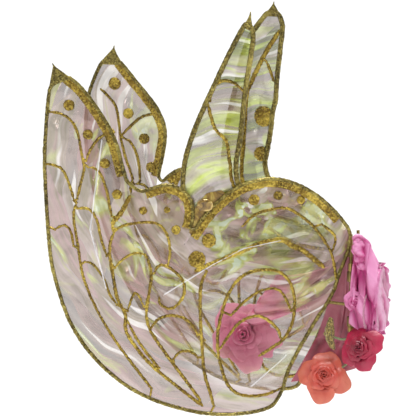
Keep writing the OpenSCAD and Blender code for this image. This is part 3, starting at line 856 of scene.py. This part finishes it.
# Silk roses and the satin rosette. Each is made of separate cut petals, stiffened, cupped and curled back at the
# lip, wound round a tight bud; the petals are painted darker at the base and on the tight inner rings as shade, and
# have slightly ragged, pointed lips.
def petal_cup(form, petal_shade_layer, put, radius, depth, turn, openness, half, seed):
    across, along = 13, 12
    grid = []
    for i in range(along):
        row = []
        for k in range(across):
            a = 2 * k / (across - 1) - 1
            trim = 1 - 0.17 * abs(a) ** 3 + 0.05 * max(0, 1 - 3 * abs(a)) + 0.09 * noise.noise(Vector((a * 3, seed, 1)))
            t = (i / (along - 1)) * trim
            reach = 0.02 + (0.10 + 0.88 * openness) * t ** (0.75 + 0.5 * openness)
            rise = (1.0 - 0.52 * openness) * math.sin(min(1, t) * math.pi / 2) ** 0.8
            curl = max(0, t - 0.68) / 0.32
            reach += 0.10 * curl ** 2 * (0.4 + openness)
            rise -= (0.10 + 0.20 * openness) * curl ** 2
            rise += 0.10 * a * a * t * openness
            reach += 0.05 * noise.noise(Vector((a * 2.2, t * 2.5, seed))) * t
            rise += 0.20 * noise.noise(Vector((a * 1.8, t * 2.0, seed + 9))) * t
            spread = half * (0.55 + 0.45 * min(1, t * 1.6)) * (1 - 0.15 * openness * t)
            phi = turn + a * spread + (1 - openness) * 0.5 * t
            at = Vector((radius * reach * math.cos(phi), radius * reach * math.sin(phi), depth * rise))
            vert = form.verts.new(put @ at)
            # Painted shade: the stored value rises from the petal's base to its lip and stays lower on the tight inner
            # petals, so the satin paints those parts darker.
            vert[petal_shade_layer] = t * (0.55 + 0.45 * openness)
            row.append(vert)
        grid.append(row)
    for a, b in zip(grid, grid[1:]):
        for k in range(across - 1):
            form.faces.new((a[k], a[k + 1], b[k + 1], b[k])).smooth = True


def rose(name, node, yaw, rings, material, seed, grow=1.0, shift=(0, 0, 0), tilt=0):
    """A wound rose that opens towards the viewer's side of the block it stands for."""
    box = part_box(node)
    low, high = Vector(box[0]), Vector(box[1])
    middle = (low + high) / 2 + Vector(shift)
    radius = (high.z - low.z) / 2 * grow
    depth = (high.y - low.y) * 0.8
    face = Matrix.Rotation(math.radians(yaw), 3, "Z") @ Vector((0, -1, math.tan(math.radians(tilt)))).normalized()
    lay = face.to_track_quat("Z", "Y").to_matrix().to_4x4()
    put = Matrix.Translation(middle - face * depth * 0.5) @ lay
    form = bmesh.new()
    petal_shade_layer = form.verts.layers.float.new("lit_crest")
    turn = seed * 1.3
    for openness, half, count in rings:
        for k in range(count):
            step = math.tau * k / count
            wobble = 0.22 * noise.noise(Vector((k, openness * 9, seed)))
            petal_cup(form, petal_shade_layer, put, radius, depth, turn + step + wobble, openness * (1 + 0.12 * wobble), half,
                      seed + k * 3.7 + openness * 11)
        turn += 2.4
    area = sum(f.calc_area() for f in form.faces)
    mesh = bpy.data.meshes.new(name)
    form.to_mesh(mesh)
    mesh.materials.append(material)
    bloom = bpy.data.objects.new(name, mesh)
    bpy.context.scene.collection.objects.link(bloom)
    body = bloom.modifiers.new("petal_thickness", "SOLIDIFY")
    body.thickness = 0.0005
    softer = bloom.modifiers.new("softer", "SUBSURF")
    softer.levels = 1
    softer.render_levels = 1
    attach(bloom, "root")
    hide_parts(node)
    return bloom


# The silk roses' ramp is set deeper, so more of each petal takes the dark fold colour as painted shade.
crimson = satin("crimson_silk", (0.04, 0.0004, 0.004), (0.32, 0.002, 0.032), (0.60, 0.012, 0.085), 0.42,
                (0.26, 0.58, 0.98))
coral = satin("coral_silk", (0.20, 0.012, 0.006), (0.58, 0.070, 0.045), (0.80, 0.26, 0.155), 0.42,
              (0.22, 0.56, 0.98))
wound = [(-0.08, 2.2, 2), (0.01, 1.9, 2), (0.11, 1.6, 3), (0.25, 1.35, 3), (0.46, 1.15, 3), (0.78, 1.0, 4)]
rose("rose_crimson_petals", "rose_crimson", -14, wound, crimson, 2, 1.24,
     (-0.004, 0, 0.001), 20)
rose("rose_coral_petals", "rose_coral", 14, wound, coral, 5, 1.10,
     (0, 0, 0), 24)
rose("rosette_petals", "satin_rosette", 0, [(-0.06, 2.2, 2), (0.06, 1.6, 3), (0.20, 1.3, 3), (0.40, 1.1, 3), (0.62, 1.0, 4),
     (0.92, 0.85, 5)], pale_pink, 7, 1.55, (0, 0, 0), 12)
rose("satin_swirl", "puff_swirl", 8, [(-0.06, 2.4, 2), (0.10, 2.0, 2), (0.34, 1.7, 3), (0.80, 1.5, 3)], magenta, 11,
     1.9, (-0.004, 0.002, 0.014))

# Stems and leaf. The roses hang on covered wires wound with pale green tape, and a cuff of leaf fabric with
# gold dust rubbed into it hides the place where the wires leave the board.
tape = Finish("stem_tape", Roughness=0.65)
wrap = tape.noise(1.0, 2, tape.framed(0.4, (0, 0, 0), (0.004, 0.004, 0.0012)))
tape.to("Base Color", tape.ramp(wrap, (0.35, (0.16, 0.22, 0.10)), (0.65, (0.34, 0.42, 0.22))))
tape.to("Normal", tape.bump(wrap, 0.0004, 0.6))
dressed("rose_stem", tape.material, 0)
leaf_cloth = Finish("leaf_fabric", Roughness=0.42, Metallic=0.35, Sheen_Weight=0.3)
leaf_cloth.to("Base Color", leaf_cloth.ramp(leaf_cloth.cells(900), (0.1, (0.06, 0.045, 0.01)), (0.5, (0.24, 0.17, 0.04)),
                                            (0.92, (0.62, 0.50, 0.16))))
leaf_cloth.to("Normal", leaf_cloth.bump(leaf_cloth.cells(900), 0.0005, 0.8))
leaf = remade("leaf_cuff", "rose_leaf", 0.0008, gathers(Vector((-0.1, 0, 1)), 0.04, 0.006, 0.0026, 12), 0.0012,
              leaf_cloth.material, 3)


# The room: a plain pale floor, a pale surround and soft panels of light.
def panel(name, place, aim, size, power):
    light = bpy.data.lights.new(name, "AREA")
    light.shape = "RECTANGLE"
    light.size, light.size_y = size
    light.energy = power
    lamp = bpy.data.objects.new(name, light)
    lamp.location = place
    lamp.rotation_euler = (Vector(aim) - Vector(place)).to_track_quat("-Z", "Y").to_euler()
    bpy.context.scene.collection.objects.link(lamp)


floor_mesh = bpy.data.meshes.new("floor")
reach = 14
floor_mesh.from_pydata([(-reach, -reach, -0.5), (reach, -reach, -0.5), (reach, reach, -0.5), (-reach, reach, -0.5)],
                       [], [(0, 1, 2, 3)])
floor = bpy.data.objects.new("floor", floor_mesh)
bpy.context.scene.collection.objects.link(floor)
paper = Finish("floor_paper", Roughness=0.9, Specular_IOR_Level=0.1)
paper.to("Base Color", paper.ramp(paper.noise(3), (0.3, (0.91, 0.91, 0.91)), (0.7, (0.93, 0.93, 0.93))))
floor.data.materials.append(paper.material)

world = bpy.data.worlds.new("room")
world.use_nodes = True
world.node_tree.nodes["Background"].inputs["Color"].default_value = (1.0, 1.0, 1.0, 1)
world.node_tree.nodes["Background"].inputs["Strength"].default_value = 0.30
bpy.context.scene.world = world
sky = bpy.data.lights.new("sky_panel", "SUN")
sky.energy = 2.9
sky.angle = math.radians(20)
overhead = bpy.data.objects.new("sky_panel", sky)
bpy.context.scene.collection.objects.link(overhead)
middle = Vector((-0.17, 0, 0.07))
panel("key", (-1.1, -1.9, 1.1), middle, (0.25, 1.3), 7)
panel("side", (1.6, -1.3, 0.5), middle, (0.25, 1.4), 6)
panel("front", (0.2, -2.2, 1.5), middle, (1.4, 0.2), 6)
panel("back", (-0.3, 1.8, 0.7), middle, (1.0, 0.8), 5)

# The camera looks at the wearer's right side, a little from ahead and above.
camera_turn = math.radians(16)
camera_rise = math.radians(8)
camera_reach = 3.467
lens = bpy.data.cameras.new("camera")
lens.lens = 300
lens.clip_end = 50
camera = bpy.data.objects.new("camera", lens)
bpy.context.scene.collection.objects.link(camera)
look = Vector((-math.sin(camera_turn) * math.cos(camera_rise), math.cos(camera_turn) * math.cos(camera_rise),
               -math.sin(camera_rise)))
aim = wing_spot("right", 0.144, 0.083)
camera.location = aim - look * camera_reach
camera.rotation_euler = look.to_track_quat("-Z", "Y").to_euler()
bpy.context.scene.camera = camera
bpy.context.scene.view_settings.view_transform = "Standard"
